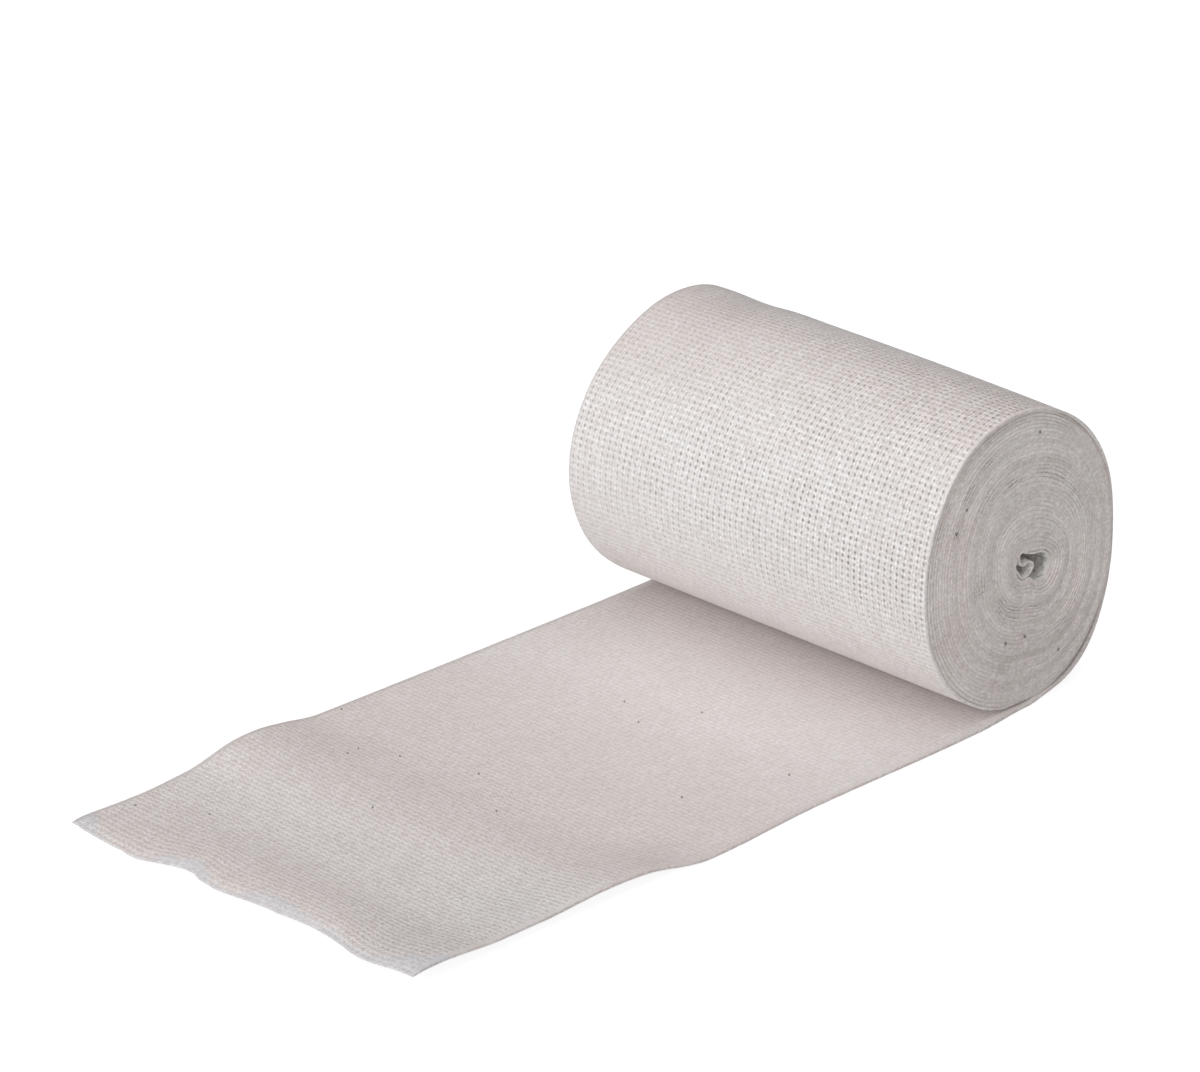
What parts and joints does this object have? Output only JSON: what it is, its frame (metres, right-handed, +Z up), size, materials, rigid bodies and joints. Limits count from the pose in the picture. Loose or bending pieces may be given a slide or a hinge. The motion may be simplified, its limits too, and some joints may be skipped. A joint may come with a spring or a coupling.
{
  "type": "short stretch bandage roll",
  "caption": "Woven cotton short stretch bandage wound into a roll, its loose end laid out flat in front; wraps a limb to hold steady compression.",
  "frame": {"origin": "on the surface the bandage rests on, under the roll's axis and midway along its width", "axes": "+Y along the roll's axis, -X along the loose end towards its cut edge, +Z up"},
  "size_m": [0.1617, 0.0816, 0.0533],
  "materials": {
    "cotton": "natural off-white cotton in an open plain weave, matt with a faint yarn sheen"
  },
  "bodies": {
    "root": {"bandage": "cotton"}
  },
  "joints": []
}
